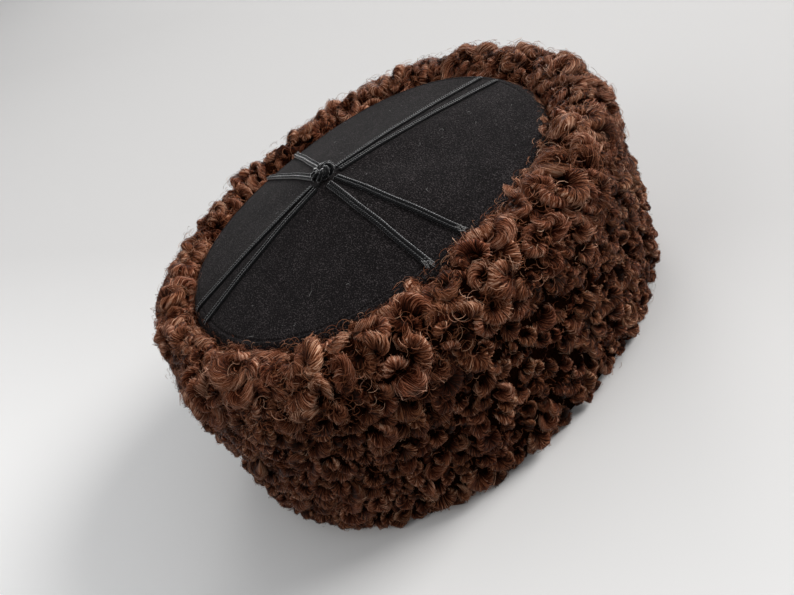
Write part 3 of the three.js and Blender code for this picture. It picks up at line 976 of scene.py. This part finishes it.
def build_braid(arm, degrees, end_spread, start, end, width, side):
    """A flat braid of two plaited ribs with a groove between them, laid on the crown's cloth."""
    ahead = np.array([math.cos(math.radians(degrees)), math.sin(math.radians(degrees))])
    across = np.array([-ahead[1], ahead[0]])
    reach = 1 / crown_place(PEAK[0] + ahead[0], PEAK[1] + ahead[1])[1]
    share = np.linspace(start, end, BRAID_STEPS)[:, None]
    place = np.linspace(-0.5, 0.5, BRAID_ACROSS)[None]
    spread = side * lerp(BRAID_START_SPREAD, end_spread, share)
    wander = BRAID_WANDER * np.sin(share * reach / 4.7 + 2.1 * side + degrees) * np.sin(math.pi * share)
    offset = spread + wander + place * width
    x = PEAK[0] + ahead[0] * reach * share + across[0] * offset
    y = PEAK[1] + ahead[1] * reach * share + across[1] * offset
    rib = np.sqrt(np.clip(1 - ((np.abs(place) - 0.25) / 0.25) ** 2, 0, 1))
    plait = np.cos(2 * math.pi * (share * reach / BRAID_PLAIT + 1.1 * np.abs(place)))
    height = BRAID_THICKNESS * (0.1 + 0.72 * rib + 0.18 * plait * rib)
    top = crown_over(x, y, GAP + height)
    foot = crown_over(x, y, GAP)[:, [-1, 0]]
    ring = np.concatenate([top, foot], axis=1)
    ends = [np.repeat(ring[i].mean(0)[None, None], ring.shape[1], axis=1) for i in (0, -1)]
    rings = np.concatenate([ends[0], ring, ends[1]])
    number = 1 if side < 0 else 2
    parts = [(rings.reshape(-1, 3), grid_faces(len(rings), rings.shape[1], close_columns=True), {})]
    if arm in FRAYED_ARMS:
        cut = ring[-1].mean(0)
        rng = np.random.default_rng(SEED + number)
        parts.append((*fray(cut[0], cut[1], math.radians(degrees), width, rng), {}))
    points, faces, values = joined(parts)
    material = np.repeat(np.arange(len(parts)), [len(part[1]) for part in parts])
    materials = [BRAID, LINT][:len(parts)]
    piece = make_piece(f"soutache_{arm}_{number}", points, faces, materials, values, material)
    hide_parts(f"braid_{arm}_{number}")


KNOT_HALF = np.array([4.6, 6.4, 3.4])
KNOT_CORD_RADIUS = 0.85
KNOT_WINDS = 3
KNOT_LOOPS = 8
KNOT_STEPS = 720
KNOT_SIDES = 15
KNOT_TWISTS = 60


def build_knot():
    """A small knot of one cord that winds three times round, over and under itself."""
    t = np.arange(KNOT_STEPS) * 2 * math.pi / KNOT_STEPS
    ring = 0.52 + 0.36 * np.cos(KNOT_LOOPS * t)
    wind = KNOT_WINDS * t
    path = np.stack([ring * np.cos(wind), ring * np.sin(wind), 0.6 * np.sin(KNOT_LOOPS * t)], -1)
    path *= KNOT_HALF - KNOT_CORD_RADIUS * np.array([0.1, 0.3, 0.9])
    path += np.array([PEAK[0], PEAK[1], PEAK[2] + GAP + KNOT_HALF[2] * 0.78])
    along = unit(np.roll(path, -1, axis=0) - np.roll(path, 1, axis=0))
    side = unit(np.cross(along, np.array([0.0, 0.0, 1.0]) + 0.01 * along))
    over = np.cross(side, along)
    phi = np.arange(KNOT_SIDES) * 2 * math.pi / KNOT_SIDES
    strand = 1 + 0.14 * np.cos(3 * phi[None] + KNOT_TWISTS * t[:, None])
    radial = np.cos(phi)[None, :, None] * side[:, None] + np.sin(phi)[None, :, None] * over[:, None]
    points = path[:, None] + radial * (KNOT_CORD_RADIUS * strand)[..., None]
    points[..., 2] = np.maximum(points[..., 2], PEAK[2] + GAP)
    faces = grid_faces(KNOT_STEPS, KNOT_SIDES, close_rows=True, close_columns=True)
    # The knot has the braid's painted grey sheen
    piece = make_piece("knot_cord", points.reshape(-1, 3), faces, [BRAID])
    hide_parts("crown_knot")


# Stage

LIGHT_FROM = (0.364, -0.661, 0.656)
SKY_STOPS = [
    (0.35, (0.10, 0.10, 0.105)),
    (0.65, (0.30, 0.305, 0.31)),
    (1.0, (0.75, 0.76, 0.78)),
]
HORIZON_STOPS = [
    (0.45, (0.03, 0.03, 0.03)),
    (0.49, (0.50, 0.505, 0.51)),
]
HORIZON_BAND = [
    (0.58, (0, 0, 0)),
    (0.72, (1, 1, 1)),
]


# The floor lies just under the hem; its colour is painted paler away from the light and darker towards it, a
# painted gradient of light
FLOOR_REACH = 40.0
FLOOR_GAP = 0.2
FLOOR_PAINTED_LIGHT_AXIS = (-0.48, 0.88, 0.0)
FLOOR_PAINTED_LIGHT_STOPS = [
    (0.2, (0.58, 0.575, 0.57)),
    (0.46, (0.66, 0.655, 0.65)),
    (0.6, (0.93, 0.93, 0.925)),
]


def half_share(tree, value):
    """Brings a cosine from -1 to 1 into 0 to 1."""
    node = math_node(tree, "MULTIPLY_ADD", value, 0.5)
    node.node.inputs[2].default_value = 0.5
    return node


def build_world():
    """A soft sky, brightest where the light comes from, over an even horizon and a dark underside."""
    world = bpy.data.worlds.new("studio")
    world.use_nodes = True
    tree = world.node_tree
    place = tree.nodes.new("ShaderNodeTexCoord").outputs["Generated"]
    axes = tree.nodes.new("ShaderNodeSeparateXYZ")
    tree.links.new(place, axes.inputs["Vector"])
    towards = tree.nodes.new("ShaderNodeVectorMath")
    towards.operation = "DOT_PRODUCT"
    towards.inputs[1].default_value = LIGHT_FROM
    tree.links.new(place, towards.inputs[0])
    height = half_share(tree, axes.outputs["Z"])
    sky = ramp(tree, half_share(tree, towards.outputs["Value"]), SKY_STOPS)
    horizon = ramp(tree, height, HORIZON_STOPS)
    colour = mixed(tree, ramp(tree, height, HORIZON_BAND), horizon, sky)
    tree.links.new(colour, tree.nodes["Background"].inputs["Color"])
    bpy.context.scene.world = world


def build_stage():
    mesh = bpy.data.meshes.new("floor")
    signs = ((-1, -1), (1, -1), (1, 1), (-1, 1))
    corners = [(x * FLOOR_REACH, y * FLOOR_REACH, -FLOOR_GAP * MM) for x, y in signs]
    mesh.from_pydata(corners, [], [(0, 1, 2, 3)])
    floor = bpy.data.objects.new("floor", mesh)
    bpy.context.scene.collection.objects.link(floor)
    material, tree, shader = new_material("pale_floor")
    along = tree.nodes.new("ShaderNodeVectorMath")
    along.operation = "DOT_PRODUCT"
    along.inputs[1].default_value = FLOOR_PAINTED_LIGHT_AXIS
    tree.links.new(tree.nodes.new("ShaderNodeTexCoord").outputs["Object"], along.inputs[0])
    # Painted light: the floor's colour grades paler away from the light
    shade = ramp(tree, half_share(tree, along.outputs["Value"]), FLOOR_PAINTED_LIGHT_STOPS)
    tree.links.new(shade, shader.inputs["Base Color"])
    shader.inputs["Roughness"].default_value = 0.9
    mesh.materials.append(material)
    floor.visible_diffuse = False
    build_world()
    bpy.context.scene.view_settings.view_transform = "Standard"
    aim = Vector((0, 0, 0.06))
    lights = [
        ("front", (-1.2, -4.2, 2.5), 2.4, 240.0, 180, (1.0, 0.98, 0.96)),
        ("back", (0.0, 3.0, 2.9), 2.4, 30.0, 180, (1.0, 0.98, 0.96)),
        ("far", (3.0, -2.1, 1.05), 2.0, 6.0, 60, (1.0, 0.99, 0.98)),
    ]
    for name, place, size, power, spread, colour in lights:
        data = bpy.data.lights.new(name, "AREA")
        data.shape = "DISK"
        data.size = size
        data.energy = power
        data.spread = math.radians(spread)
        data.color = colour
        lamp = bpy.data.objects.new(name, data)
        lamp.location = place
        lamp.visible_camera = False
        lamp.rotation_euler = (aim - Vector(place)).to_track_quat("-Z", "Y").to_euler()
        bpy.context.scene.collection.objects.link(lamp)


def build_camera():
    data = bpy.data.cameras.new("camera")
    data.sensor_width = SENSOR_WIDTH
    data.lens = FOCAL_SHARE * SENSOR_WIDTH
    data.clip_start = 0.01
    camera = bpy.data.objects.new("camera", data)
    right, up = Vector(CAMERA_RIGHT), Vector(CAMERA_UP)
    axes = Matrix((right, up, right.cross(up))).transposed().to_4x4()
    camera.matrix_world = Matrix.Translation(Vector(CAMERA_PLACE) * MM) @ axes
    bpy.context.scene.collection.objects.link(camera)
    bpy.context.scene.camera = camera


build_camera()
build_stage()
build_pelt()
build_fleece()
build_crown()
for arm_row in BRAID_ARMS:
    for side in (-1, 1):
        build_braid(*arm_row, side)
build_knot()
